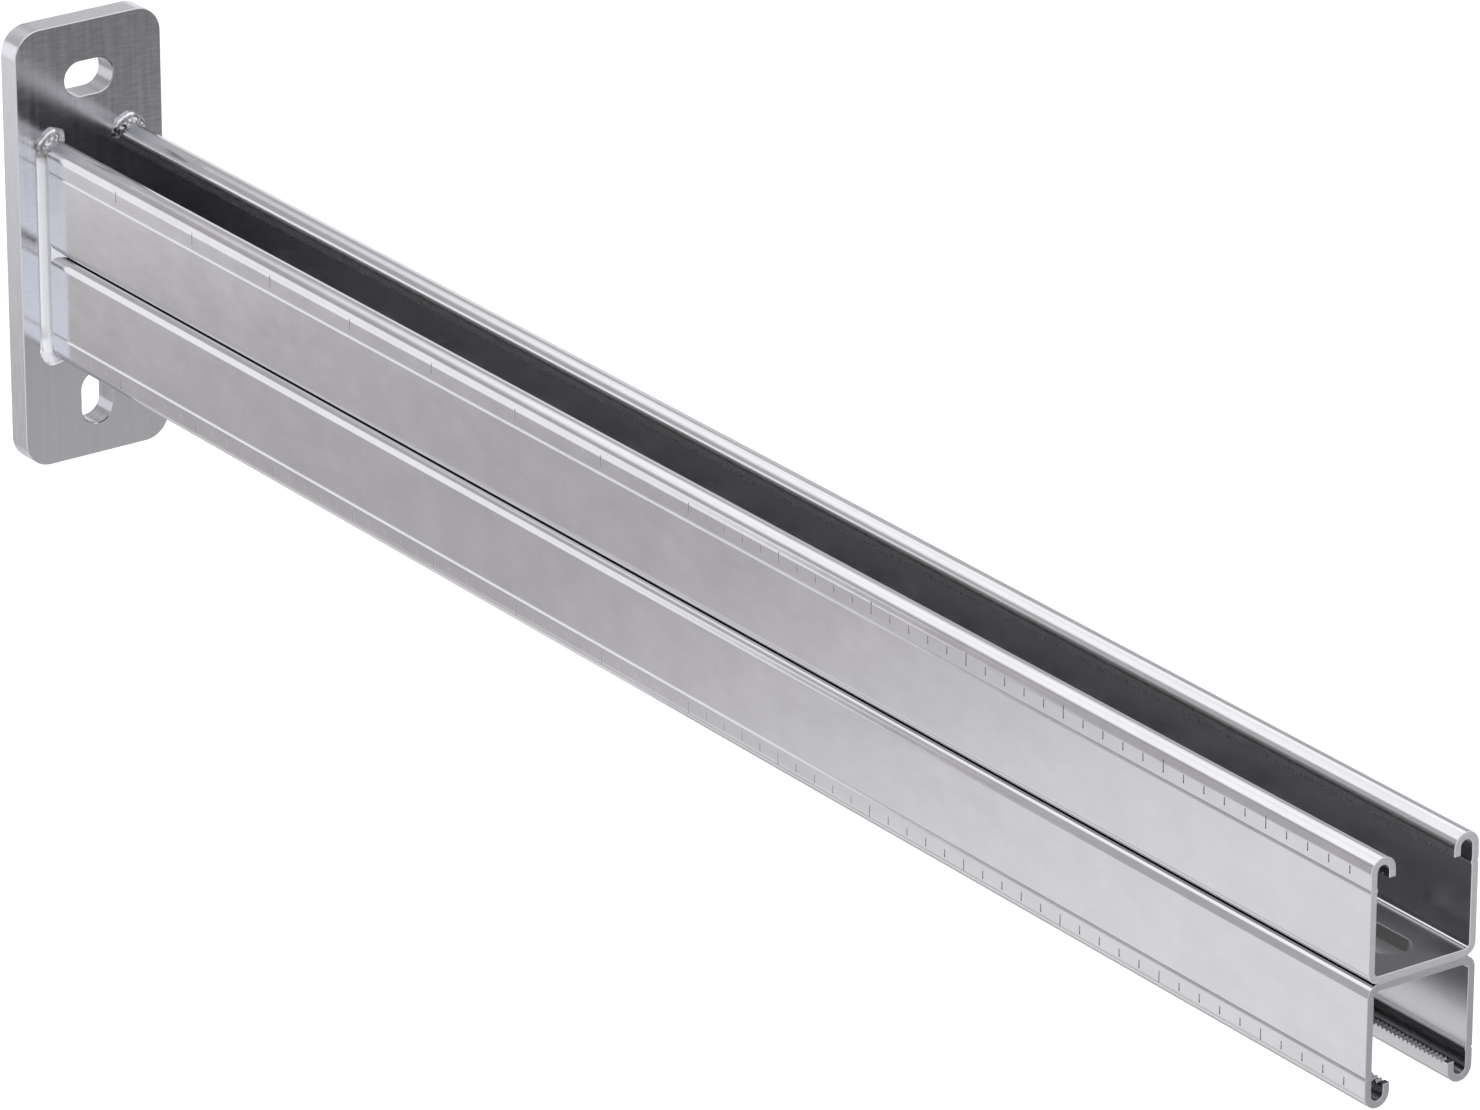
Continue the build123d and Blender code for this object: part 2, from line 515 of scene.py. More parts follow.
def tick_rows():
    """Places on the flat wall where the engraved lines start, deepen and end."""
    heights = [
        LONG_TICK[0],
        LONG_TICK[0] + TICK_RAMP,
        SHORT_TICK[0],
        SHORT_TICK[0] + TICK_RAMP,
        SHORT_TICK[1] - TICK_RAMP,
        SHORT_TICK[1],
    ]
    return [(HALF_WIDTH, height) for height in heights]


def lip_outline():
    """Round outside of the lip, from the wall to its inner face."""
    return arc((LIP_MIDDLE, LIP_CENTRE), LIP_RADIUS, 0, 180, LIP_STEPS)


def inner_outline():
    """Inside of half the section, from the lip's inner face down to the web."""
    inner_wall = HALF_WIDTH - SHEET
    lip = arc((LIP_MIDDLE, LIP_CENTRE), LIP_RADIUS - SHEET, 180, 0, LIP_STEPS // 2)
    ridge = [
        (inner_wall, GROOVE_HEIGHT + RIDGE_HALF_WIDTH),
        (inner_wall - GROOVE_DEPTH, GROOVE_HEIGHT),
        (inner_wall, GROOVE_HEIGHT - RIDGE_HALF_WIDTH),
    ]
    corner_centre = (HALF_WIDTH - WEB_CORNER_RADIUS, WEB_CORNER_RADIUS)
    corner = arc(corner_centre, WEB_CORNER_RADIUS - SHEET, 0, -90, CORNER_STEPS)
    return lip + ridge + corner


def half_slot(centre, growth):
    """Half of a web slot, from one end of it to the other, widened all round by a growth."""
    radius = SLOT_WIDTH / 2 + growth
    reach = (SLOT_LENGTH - SLOT_WIDTH) / 2
    start = arc((centre - reach, 0), radius, 180, 90, SLOT_ARC_STEPS)
    stop = arc((centre + reach, 0), radius, 90, 0, SLOT_ARC_STEPS)
    return start + stop


def web_slot_centres():
    """Places of the web's slots along the arm, from the plate to the free end."""
    last = ARM_END - SLOT_END_MARGIN - SLOT_LENGTH / 2
    count = int((ARM_END - PLATE_FACE) // SLOT_PITCH)
    return [last - SLOT_PITCH * index for index in reversed(range(count))]


def add_web(shell, side):
    """Half of the web with its slots, which have a small chamfer on the inside."""
    edge = HALF_WIDTH - WEB_CORNER_RADIUS
    for height, growth, finish in ((0.0, 0.0, ROLLED), (SHEET, SLOT_CHAMFER, INSIDE)):
        boundary = [(STRIP_START, 0, height)]
        for centre in web_slot_centres():
            boundary += [(x, side * y, height) for x, y in half_slot(centre, growth)]
        boundary += [
            (STRIP_END, 0, height),
            (STRIP_END, side * edge, height),
            (STRIP_START, side * edge, height),
        ]
        shell.face(boundary, finish)
    for centre in web_slot_centres():
        hole = half_slot(centre, 0.0)
        bottom = [(x, side * y, 0) for x, y in hole]
        shoulder = [(x, side * y, SHEET - SLOT_CHAMFER) for x, y in hole]
        top = [(x, side * y, SHEET) for x, y in half_slot(centre, SLOT_CHAMFER)]
        shell.ladder(bottom, shoulder, PUNCHED)
        shell.ladder(shoulder, top, CUT)


def outer_lines(side):
    """Lines along the outside of half a channel, from the web's corner to the lip's inner face."""
    lines = [plain_line(side * y, z) for y, z in wall_outline()]
    lines += [tick_line(side * y, z, (side, 0)) for y, z in tick_rows()]
    for number, (y, z) in enumerate(lip_outline()):
        if number < TICK_LIP_ROWS:
            outward = (side * (y - LIP_MIDDLE) / LIP_RADIUS, (z - LIP_CENTRE) / LIP_RADIUS)
            lines.append(tick_line(side * y, z, outward))
        else:
            lines.append(plain_line(side * y, z))
    return lines


def add_half_channel(shell, side):
    """Skin of one half of a channel, without its ends."""
    outer = outer_lines(side)
    outer_teeth = tooth_line(side * LIP_FACE)
    inner_teeth = tooth_line(side * (LIP_FACE + SHEET))
    inner = [plain_line(side * y, z) for y, z in inner_outline()]
    mouth = len(outer) - 1 - MOUTH_STEPS
    # Painted shade: the rows where the upper channel's lip turns in toward its inner face take the dark
    # punched steel, and the lower channel's take the lighter lip steel.
    mouth_finish_and_shade = PUNCHED if shell.turn > 0 else LIP_INSIDE
    for number, (line_a, line_b) in enumerate(zip(outer, outer[1:])):
        finish = ROLLED if number < mouth else mouth_finish_and_shade
        if len(line_a) == len(line_b):
            shell.ladder(line_a, line_b, finish)
        else:
            shell.strip(line_a, line_b, finish)
    shell.strip(outer[-1], outer_teeth, LIP_INSIDE)
    shell.ladder(outer_teeth, inner_teeth, PUNCHED)
    shell.strip(inner_teeth, inner[0], INSIDE)
    web_corner = len(inner) - 1 - CORNER_STEPS
    for number, (line_a, line_b) in enumerate(zip(inner, inner[1:])):
        shell.ladder(line_a, line_b, INSIDE if number < web_corner else ROLLED)
    add_web(shell, side)


def add_channel_ends(shell):
    """A plain end at the plate, and a free end with a broken edge."""
    tip = [(LIP_FACE, LIP_TIP), (LIP_FACE + SHEET, LIP_TIP)]
    half = wall_outline() + tick_rows() + lip_outline() + tip + inner_outline()
    outline = [(0, 0)] + half + [(0, SHEET)] + [(-y, z) for y, z in reversed(half)]
    shell.face([(STRIP_START, y, z) for y, z in outline], CUT)
    narrow = inset(outline, CUT_EDGE)
    edge = [(STRIP_END, y, z) for y, z in outline + outline[:1]]
    rim = [(ARM_END, y, z) for y, z in narrow + narrow[:1]]
    shell.ladder(edge, rim, CUT)
    shell.face(rim[:-1], CUT)


def make_channel(name, turn, materials):
    """One C channel: turn is 1 with its open side up, and -1 with it down."""
    shell = Shell(turn)
    for side in (1, -1):
        add_half_channel(shell, side)
    add_channel_ends(shell)
    piece = shell.build(name, materials)
    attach(piece, "root")
    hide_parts(name)


def upright_half_slot(centre, length, width):
    """Half of a slot on the plate from its top to its bottom, as (y, z) points."""
    half_across = width / 2
    if length > width:
        reach = length / 2 - half_across
        upper = arc((0, centre + reach), half_across, 90, 0, SLOT_ARC_STEPS)
        lower = arc((0, centre - reach), half_across, 0, -90, SLOT_ARC_STEPS)
        return upper + lower
    radius = length / 2
    end = arc((half_across - radius, centre), radius, 90, -90, 2 * SLOT_ARC_STEPS)
    return [(0, centre + radius)] + end + [(0, centre - radius)]


def anchor_slots(growth):
    """Halves of the level slot above and the upright slot below, widened all round by a growth."""
    across = ANCHOR_SLOT_WIDTH + 2 * growth
    along = ANCHOR_SLOT_LENGTH + 2 * growth
    level = upright_half_slot(ANCHOR_SLOT_HEIGHT, across, along)
    upright = upright_half_slot(-ANCHOR_SLOT_HEIGHT, along, across)
    return level, upright


def plate_half_outline(shrink):
    """Right-hand half of the plate's outline, from its bottom to its top."""
    width = PLATE_HALF_WIDTH - shrink
    height = PLATE_HALF_HEIGHT - shrink
    radius = PLATE_CORNER_RADIUS - shrink
    lower = arc((width - radius, radius - height), radius, -90, 0, PLATE_CORNER_STEPS)
    upper = arc((width - radius, height - radius), radius, 0, 90, PLATE_CORNER_STEPS)
    return [(0, -height)] + lower + upper + [(0, height)]


def plate_rings():
    """Depths of the plate's side from its back to its face, and how far it is drawn in there."""
    rings = [(0.0, PLATE_BACK_CHAMFER), (PLATE_BACK_CHAMFER, 0.0)]
    for step in range(PLATE_EDGE_STEPS + 1):
        turn = math.radians(90 * step / PLATE_EDGE_STEPS)
        depth = PLATE_FACE - PLATE_EDGE_RADIUS * (1 - math.sin(turn))
        rings.append((depth, PLATE_EDGE_RADIUS * (1 - math.cos(turn))))
    return rings


def make_plate(materials):
    """Base plate with a rounded front edge and two slots."""
    shell = Shell()
    slot_rings = [
        (0.0, ANCHOR_CHAMFER),
        (ANCHOR_CHAMFER, 0.0),
        (PLATE_FACE - ANCHOR_CHAMFER, 0.0),
        (PLATE_FACE, ANCHOR_CHAMFER),
    ]
    for side in (1, -1):
        lines = [
            [(x, side * y, z) for y, z in plate_half_outline(shrink)] for x, shrink in plate_rings()
        ]
        for line_a, line_b in zip(lines, lines[1:]):
            shell.ladder(line_a, line_b, CUT)
        slot_lines = [
            [[(x, side * y, z) for y, z in slot] for slot in anchor_slots(growth)]
            for x, growth in slot_rings
        ]
        for ring_a, ring_b in zip(slot_lines, slot_lines[1:]):
            for line_a, line_b in zip(ring_a, ring_b):
                shell.ladder(line_a, line_b, PLATE_SLOT)
        for outline, slots in ((lines[0], slot_lines[0]), (lines[-1], slot_lines[-1])):
            shell.face(outline + slots[0] + slots[1], ROLLED)
    piece = shell.build("base_plate_finish", materials)
    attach(piece, "root")
    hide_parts("base_plate")


# A point that a bead follows, with the way out from the arm there, and both legs of the bead.
# Half is 1 on the upper lip, 0 on the side wall and -1 on the lower lip.
Station = namedtuple("Station", "y z way lip_angle half plate_leg arm_leg")


def lip_stations(lip, half):
    """Stations round a lip, from the bead's end on its inner face to the side wall."""
    stations = []
    tail_steps = round(lip["tail"] / LIP_STEP)
    for index in range(tail_steps):
        height = LIP_CENTRE - lip["tail"] * (1 - index / tail_steps)
        legs = (lip["plate"][-1][1], lip["arm"][-1][1])
        stations.append(Station(LIP_FACE, half * height, (-1, 0), 180, half, *legs))
    lip_steps = round(math.radians(lip["end"]) * LIP_RADIUS / LIP_STEP)
    for index in range(lip_steps + 1):
        angle = lip["end"] * (1 - index / lip_steps)
        out_y = math.cos(math.radians(angle))
        out_z = math.sin(math.radians(angle))
        y = LIP_MIDDLE + LIP_RADIUS * out_y
        z = LIP_CENTRE + LIP_RADIUS * out_z
        legs = (between(lip["plate"], angle), between(lip["arm"], angle))
        stations.append(Station(y, half * z, (out_y, half * out_z), angle, half, *legs))
    return stations


def weld_stations(upper_lip):
    """All stations of a bead: round the upper lip, down both channels' walls, round the lower lip."""
    stations = lip_stations(upper_lip, 1)
    run_steps = round(2 * LIP_CENTRE / COLUMN_STEP)
    for index in range(1, run_steps):
        height = LIP_CENTRE * (1 - 2 * index / run_steps)
        legs = (between(COLUMN_PLATE_LEG, height), between(COLUMN_ARM_LEG, height))
        stations.append(Station(HALF_WIDTH, height, (1, 0), 0, 0, *legs))
    return stations + list(reversed(lip_stations(LOWER_LIP, -1)))


def bead_radius(turn, plate_leg, arm_leg, power):
    """Distance from the corner to the bead's surface: turn is 0 at the plate, a right angle at the arm."""
    on_plate = max(math.cos(turn) / plate_leg, 0.0)
    on_arm = max(math.sin(turn), 0.0) / arm_leg
    return (on_plate ** power + on_arm ** power) ** (-1 / power)


def bead_relief(run, angle, side, lump, lumpy):
    """Height of the ring's lumps, crease and roughness at an angle round the bead's section."""
    relief = (TOE_HEIGHT * hump(angle, *TOE_AT) - CREASE_DEPTH * hump(angle, *CREASE_AT)) * lumpy
    relief += (LUMP_LEAST + LUMP_HEIGHT * lump) * lumpy * hump(angle, *LUMPS_AT)
    relief += ROUGH_HEIGHT * noise_at((run, angle, side), ROUGH_SCALES)
    return relief


def ring_stain_and_shade(run, angle, lip_angle, side, lump, lumpy):
    """Share of heat staining and painted shade on the ring: random patches are staining; the painted shade
    lies on its tube's plate side, in its crease and between its lumps.
    """
    patches = PATCH_SHARE + PATCH_SHARE * noise_at((run, angle, side), PATCH_SCALES)
    # Painted shade on the plate side of the ring's tube, part way round the lip; then painted shade between
    # the lumps and in the crease.
    tube_shade = TUBE_SHADE_SHARE * hump(lip_angle, *TUBE_SHADE_AT) * (1 - smooth_step((angle - TUBE_SHADE_STOP) / TUBE_SHADE_BLEND))
    between_lumps = LUMP_SHARE * (1 - lump) * hump(angle, *SHADED_LUMPS_AT)
    return patches + tube_shade + lumpy * (hump(angle, *SHADED_CREASE_AT) + between_lumps)


def bead_point(station, side, along, out):
    """A point of the bead's section, by its distances from the plate and from the arm."""
    y = station.y + station.way[0] * out
    return (PLATE_FACE + along, side * y, station.z + station.way[1] * out)


def bead_ring(shell, station, run, from_end, side, last_lump):
    """Closed section of a bead: its surface from the plate to the arm, then its hidden root."""
    is_upper = 1 if station.half > 0 else 0
    on_ring = is_upper * smooth_step((station.lip_angle - RING_START) / RING_BLEND)
    lumpy = smooth_step((last_lump - station.lip_angle) / LUMP_BLEND)
    lump = math.sin(2 * math.pi * run / LUMP_PITCH + LUMP_SWAY * noise_at((run, side, 1), SWAY_SCALES))
    taper = math.sqrt(max(1 - (1 - min(from_end / WELD_END, 1.0)) ** 2, BLUNT_END))
    neck = 1 - NECK_DEPTH * hump(station.lip_angle, *NECK_AT) * is_upper
    wander = WANDER_HEIGHT * noise_at((run, side, 1), WANDER_SCALES)
    plate_leg = (station.plate_leg + wander) * taper * neck
    arm_leg = (station.arm_leg - wander) * taper * neck
    power = COLUMN_POWER + (LIP_POWER - COLUMN_POWER) * on_ring
    power += (RING_END_POWER - LIP_POWER) * on_ring * (1 - lumpy)
    # Painted shade at the neck where the ring meets the column.
    past_neck_shade = smooth_step((station.lip_angle - NECK_SHADE_STOP) / NECK_SHADE_BLEND)
    neck_shade = hump(station.z, *NECK_SHADE_AT) * (1 - past_neck_shade)
    ring = []
    for step in range(WELD_STEPS + 1):
        angle = 90 * step / WELD_STEPS
        turn = math.radians(angle)
        radius = bead_radius(turn, plate_leg, arm_leg, power)
        radius += bead_relief(run, angle, side, lump, lumpy) * on_ring * taper
        point = bead_point(station, side, radius * math.sin(turn), radius * math.cos(turn))
        stain_and_shade = on_ring * ring_stain_and_shade(run, angle, station.lip_angle, side, lump, lumpy) + neck_shade
        shell.stain_and_shade(point, min(stain_and_shade, 1.0))
        ring.append(point)
    for along, out in ((arm_leg, -WELD_ROOT), (-WELD_ROOT, -WELD_ROOT), (-WELD_ROOT, plate_leg)):
        ring.append(bead_point(station, side, along, out))
    return ring + ring[:1]


def make_weld(name, side, upper_lip, material):
    """One bead round the outside of both channels, with lumpy turns at the upper lip."""
    shell = Shell()
    stations = weld_stations(upper_lip)
    travelled = [0.0]
    for before, after in zip(stations, stations[1:]):
        travelled.append(travelled[-1] + math.hypot(after.y - before.y, after.z - before.z))
    rings = []
    for run, station in zip(travelled, stations):
        from_end = min(run, travelled[-1] - run)
        rings.append(bead_ring(shell, station, run, from_end, side, upper_lip["last_lump"]))
    for ring_a, ring_b in zip(rings, rings[1:]):
        shell.ladder(ring_a, ring_b)
    shell.face(rings[0][:-1])
    shell.face(rings[-1][:-1])
    add_notch_fill(shell, side)
    piece = shell.build(name + "_bead", [material], BEAD_SHARP_ANGLE)
    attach(piece, "root")
    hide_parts(name)


def add_notch_fill(shell, side):
    """Weld metal run into the V between the round corners of the two webs."""
    start = PLATE_FACE + COLUMN_ARM_LEG[1][1] - FILL_OVERLAP
    back_y = HALF_WIDTH - FILL_DEPTH - FILL_BACK
    front = []
    back = []
    for row in range(FILL_ROWS + 1):
        z = FILL_HALF_HEIGHT * (2 * row / FILL_ROWS - 1)
        front_row = []
        back_row = []
        for column in range(FILL_COLUMNS + 1):
            share = column / FILL_COLUMNS
            x = start + FILL_REACH * share
            hollow = FILL_HOLLOW * math.sin(math.pi * share)
            y = HALF_WIDTH - FILL_SETBACK - FILL_DEPTH * share - hollow
            front_row.append((x, side * y, z))
            back_row.append((x, side * back_y, z))
        front.append(front_row)
        back.append(back_row)
    for row in range(FILL_ROWS):
        shell.ladder(front[row], front[row + 1])
        shell.ladder(back[row], back[row + 1])
    for row in (0, FILL_ROWS):
        shell.ladder(front[row], back[row])
    for column in (0, FILL_COLUMNS):
        shell.ladder([row[column] for row in front], [row[column] for row in back])


class Graph:
    """Makes shader nodes and links them."""

    # Sockets of the node that mixes two colours
    MIX_SHARE = 0
    MIX_FIRST = 6
    MIX_SECOND = 7
    MIX_RESULT = 2

    def __init__(self, tree):
        self.tree = tree
        tree.nodes.clear()

    def add(self, kind, inputs=None, **settings):
        """A node whose inputs are linked to another node's output, or set to a value."""
        node = self.tree.nodes.new(kind)
        for name, value in settings.items():
            setattr(node, name, value)
        for name, value in (inputs or {}).items():
            socket = node.inputs[name]
            if isinstance(value, bpy.types.NodeSocket):
                self.tree.links.new(value, socket)
            else:
                socket.default_value = value
        return node

    def place(self, kind="Object"):
        """Place on the surface."""
        return self.add("ShaderNodeTexCoord").outputs[kind]

    def split(self, place):
        """X, Y and Z of a place."""
        return list(self.add("ShaderNodeSeparateXYZ", {0: place}).outputs)

    def math(self, operation, *values):
        """Result of an operation on numbers and other nodes' outputs."""
        node = self.add("ShaderNodeMath", dict(enumerate(values)), operation=operation)
        return node.outputs[0]

    def noise(self, place, waves, detail, roughness=0.55):
        """Noise from 0 to 1, with so many waves to a metre along X, Y and Z."""
        stretched = self.add("ShaderNodeMapping", {"Vector": place, "Scale": waves}).outputs["Vector"]
        inputs = {"Vector": stretched, "Scale": 1.0, "Detail": detail, "Roughness": roughness}
        return self.add("ShaderNodeTexNoise", inputs).outputs["Fac"]

    def remap(self, value, old, new, **settings):
        """A value carried from one range to another, and held at its ends."""
        inputs = {
            "Value": value,
            "From Min": old[0],
            "From Max": old[1],
            "To Min": new[0],
            "To Max": new[1],
        }
        return self.add("ShaderNodeMapRange", inputs, **settings).outputs["Result"]

    def tint(self, share, colour, other):
        """One colour mixed into another by a share, each a tuple or another node's output."""
        first, second = ((*value, 1) if isinstance(value, tuple) else value for value in (colour, other))
        inputs = {self.MIX_SHARE: share, self.MIX_FIRST: first, self.MIX_SECOND: second}
        return self.add("ShaderNodeMix", inputs, data_type="RGBA").outputs[self.MIX_RESULT]

    def bump(self, height, distance, strength):
        """Normal of the surface with a relief, where a height of 1 rises by the distance in metres."""
        inputs = {"Height": height, "Distance": distance, "Strength": strength}
        return self.add("ShaderNodeBump", inputs).outputs["Normal"]


def new_material(name):
    """A material with an empty graph."""
    material = bpy.data.materials.new(name)
    material.use_nodes = True
    return material, Graph(material.node_tree)


def finish_metal(graph, colour, roughness, normal, metallic=1.0):
    """Ends a graph with a metal of this colour, roughness and relief."""
    shader = graph.add(
        "ShaderNodeBsdfPrincipled",
        {"Base Color": colour, "Metallic": metallic, "Roughness": roughness, "Normal": normal},
    )
    graph.add("ShaderNodeOutputMaterial", {"Surface": shader.outputs["BSDF"]})


def channel_steel(name, dark, light, roughness, near_plate_shade=0.0):
    """Zinc-coated strip with faint clouds, drawn lines on the lips, and a painted shade in the seam, which
    is also rougher.

    The lips' crests are darker next to the weld. The argument near_plate_shade is the share of painted
    shade by which the whole strip is darker near the plate.
    """
    material, graph = new_material(name)
    place = graph.place()
    along, _, height = graph.split(place)
    from_seam = graph.math("ABSOLUTE", height)
    clouds = graph.noise(place, (48, 90, 75), detail=5.0, roughness=0.65)
    waves = graph.noise(place, (40, 60, 60), detail=2.0)
    lines = graph.noise(place, (1.5, 1300, 1300), detail=1.0)
    zinc = graph.tint(graph.remap(clouds, NOISE_MIDDLE, (0, 1)), dark, light)

    on_lip = graph.remap(from_seam, metres(DRAWN_LIP), (0.0, 1.0))
    drawn = graph.math("MULTIPLY", graph.remap(lines, (0.36, 0.46), (1.0, 0.0)), on_lip)
    colour = graph.tint(graph.math("MULTIPLY", drawn, DRAWN_SHARE), zinc, DRAWN_GREY)

    # The lips' crests are darker next to the weld.
    by_weld = graph.remap(along, metres(DARK_CREST_LENGTH), (DARK_CREST_SHARE, 0.0))
    on_crest = graph.remap(from_seam, metres(DARK_CREST), (0.0, 1.0))
    colour = graph.tint(graph.math("MULTIPLY", by_weld, on_crest), colour, DARK_CREST_GREY)
    # Painted shade: the strip darkens towards the plate, inside the channel.
    if near_plate_shade:
        by_plate = graph.remap(along, metres(NEAR_PLATE_SHADE_LENGTH), (near_plate_shade, 0.0))
        colour = graph.tint(by_plate, colour, NEAR_PLATE_SHADE_GREY)

    # Painted shade: a dark band in the seam between the two channels' web corners, where the strip is also
    # rougher.
    below_top = graph.remap(height, metres(SEAM_TOP), (1.0, 0.0))
    above_foot = graph.remap(height, metres(SEAM_FOOT), (0.0, 1.0))
    seam = graph.math("MULTIPLY", below_top, above_foot)
    colour = graph.tint(seam, colour, SEAM_SHADE_GREY)
    dulled = graph.math("ADD", graph.remap(clouds, NOISE_MIDDLE, roughness), seam)
    finish_metal(graph, colour, dulled, graph.bump(waves, distance=0.0004, strength=0.12))
    return material


def dull_steel(name, dark, light):
    """Strip that no roll has smoothed: sides of the slots, and inner faces and teeth of the lips."""
    material, graph = new_material(name)
    clouds = graph.noise(graph.place(), (700, 700, 700), detail=3.0)
    colour = graph.tint(clouds, dark, light)
    roughness = graph.remap(clouds, NOISE_MIDDLE, (0.32, 0.42))
    finish_metal(graph, colour, roughness, graph.bump(clouds, distance=0.0001, strength=0.3))
    return material


def cut_steel(name, dark, light):
    """Sawn ends: matt, with fine lines across the sheet."""
    material, graph = new_material(name)
    lines = graph.noise(graph.place(), (300, 300, 2600), detail=2.0)
    colour = graph.tint(lines, dark, light)
    roughness = graph.remap(lines, NOISE_MIDDLE, (0.4, 0.5))
    normal = graph.bump(lines, distance=0.00003, strength=0.5)
    finish_metal(graph, colour, roughness, normal, metallic=0.6)
    return material


def plate_steel():
    """Flat bar with a fine brushed grain, which is faint on its lower half."""
    material, graph = new_material("zinc_coated_bar")
    place = graph.place()
    _, _, height = graph.split(place)
    upright = graph.noise(place, (300, 450, 22), detail=3.0)
    level = graph.noise(place, (300, 130, 1300), detail=2.0)
    grain = graph.math("ADD", graph.math("MULTIPLY", upright, 0.55), graph.math("MULTIPLY", level, 0.45))
    clear = graph.remap(height, metres(GRAIN_FADE), (0.3, 1.0))
    about_middle = graph.math("SUBTRACT", grain, 0.5)
    brushed = graph.math("MULTIPLY_ADD", about_middle, clear, 0.5)
    middle = (0.38, 0.62)
    colour = graph.tint(graph.remap(brushed, middle, (0, 1)), *PLATE_GREYS)
    roughness = graph.remap(brushed, middle, (0.15, 0.21))
    finish_metal(graph, colour, roughness, graph.bump(brushed, distance=0.00002, strength=0.3))
    return material


def plate_edge_steel(name, dark, light):
    """Sheared and ground sides of the flat bar and its slots."""
    material, graph = new_material(name)
    lines = graph.noise(graph.place(), (1500, 120, 120), detail=3.0)
    colour = graph.tint(lines, dark, light)
    roughness = graph.remap(lines, NOISE_MIDDLE, (0.16, 0.24))
    finish_metal(graph, colour, roughness, graph.bump(lines, distance=0.00002, strength=0.4))
    return material


def weld_metal():
    """Zinc-coated weld bead: smooth and bright, and brown where the heat stained it and where shade is
    painted on it.
    """
    material, graph = new_material("zinc_coated_weld")
    clouds = graph.noise(graph.place(), (500, 500, 500), detail=3.0)
    zinc = graph.tint(clouds, *WELD_GREYS)
    # The attribute carries heat staining and painted shade, both mixed toward brown.
    stain_and_shade = graph.add("ShaderNodeAttribute", attribute_name="stain_and_shade").outputs["Fac"]
    patchy = graph.math("MULTIPLY", stain_and_shade, graph.remap(clouds, (0.3, 0.6), (0.5, 0.9)))
    colour = graph.tint(patchy, zinc, WELD_BROWN)
    roughness = graph.remap(clouds, NOISE_MIDDLE, (0.18, 0.25))
    finish_metal(graph, colour, roughness, graph.bump(clouds, distance=0.00005, strength=0.2))
    return material


def make_camera():
    """Camera that looks at its target from an azimuth, an elevation and a distance."""
    azimuth = math.radians(VIEW_AZIMUTH)
    elevation = math.radians(VIEW_ELEVATION)
    roll = math.radians(VIEW_ROLL)
    back = Vector(
        (
            math.sin(azimuth) * math.cos(elevation),
            -math.cos(azimuth) * math.cos(elevation),
            math.sin(elevation),
        )
    )
    right = Vector((math.cos(azimuth), math.sin(azimuth), 0))
    up = back.cross(right)
    rolled_right = right * math.cos(roll) + up * math.sin(roll)
    rolled_up = up * math.cos(roll) - right * math.sin(roll)
    turned = Matrix((rolled_right, rolled_up, back)).transposed().to_4x4()
    data = bpy.data.cameras.new("camera")
    data.sensor_width = SENSOR_WIDTH
    data.lens = VIEW_LENS
    data.clip_start = CLIP_START
    data.clip_end = CLIP_END
    camera = bpy.data.objects.new("camera", data)
    camera.matrix_world = Matrix.Translation(VIEW_TARGET + back * VIEW_DISTANCE) @ turned
    bpy.context.scene.collection.objects.link(camera)
    bpy.context.scene.camera = camera


def panel_glow(graph, strength, rims, colour):
    """Light of a panel that fades out over its rims."""
    shares = graph.split(graph.place("UV"))
    glow = 1.0
    for number, rim in enumerate(rims):
        edge = number % 2
        inner_edge = 1 - rim if edge else rim
        across = shares[number // 2]
        rise = graph.remap(across, (edge, inner_edge), (0.0, 1.0), interpolation_type="SMOOTHSTEP")
        glow = graph.math("MULTIPLY", glow, rise)
    light = graph.add("ShaderNodeEmission", {"Color": (*colour, 1), "Strength": strength})
    clear = graph.add("ShaderNodeBsdfTransparent")
    mixed = graph.add("ShaderNodeMixShader", {0: glow, 1: clear.outputs[0], 2: light.outputs[0]})
    graph.add("ShaderNodeOutputMaterial", {"Surface": mixed.outputs[0]})


def add_panel(name, corner, side_a, side_b, strength, rims, colour):
    """A light panel that the camera doesn't see, from one corner and its two sides.

    Its rims are soft: four widths, as shares of side_a at its start and end, then of side_b.
    """
    corner = Vector(corner)
    side_a = Vector(side_a)
    side_b = Vector(side_b)
    mesh = bpy.data.meshes.new(name)
    points = [corner, corner + side_a, corner + side_a + side_b, corner + side_b]
    mesh.from_pydata(points, [], [(0, 1, 2, 3)])
    layer = mesh.uv_layers.new(name="rim")
    for loop, place in zip(layer.data, ((0, 0), (1, 0), (1, 1), (0, 1))):
        loop.uv = place
    material, graph = new_material(name)
    panel_glow(graph, strength, rims, colour)
    mesh.materials.append(material)
    panel = bpy.data.objects.new(name, mesh)
    bpy.context.scene.collection.objects.link(panel)
    panel.visible_camera = False
    panel.visible_shadow = False


def make_floor():
    """Pale floor well below the arm, which hangs free as on its wall."""
    mesh = bpy.data.meshes.new("floor")
    half = FLOOR_SIZE / 2
    corners = [(-half, -half), (half, -half), (half, half), (-half, half)]
    mesh.from_pydata([(x, y, FLOOR_HEIGHT) for x, y in corners], [], [(0, 1, 2, 3)])
    material, graph = new_material("pale_floor")
    diffuse = graph.add("ShaderNodeBsdfDiffuse", {"Color": (*FLOOR_GREY, 1)})
    light = graph.add("ShaderNodeEmission", {"Strength": FLOOR_GLOW})
    both = graph.add("ShaderNodeAddShader", {0: diffuse.outputs[0], 1: light.outputs[0]})
    graph.add("ShaderNodeOutputMaterial", {"Surface": both.outputs[0]})
    mesh.materials.append(material)
    floor = bpy.data.objects.new("floor", mesh)
    bpy.context.scene.collection.objects.link(floor)
    floor.visible_glossy = False
    floor.visible_diffuse = False
    floor.visible_shadow = False


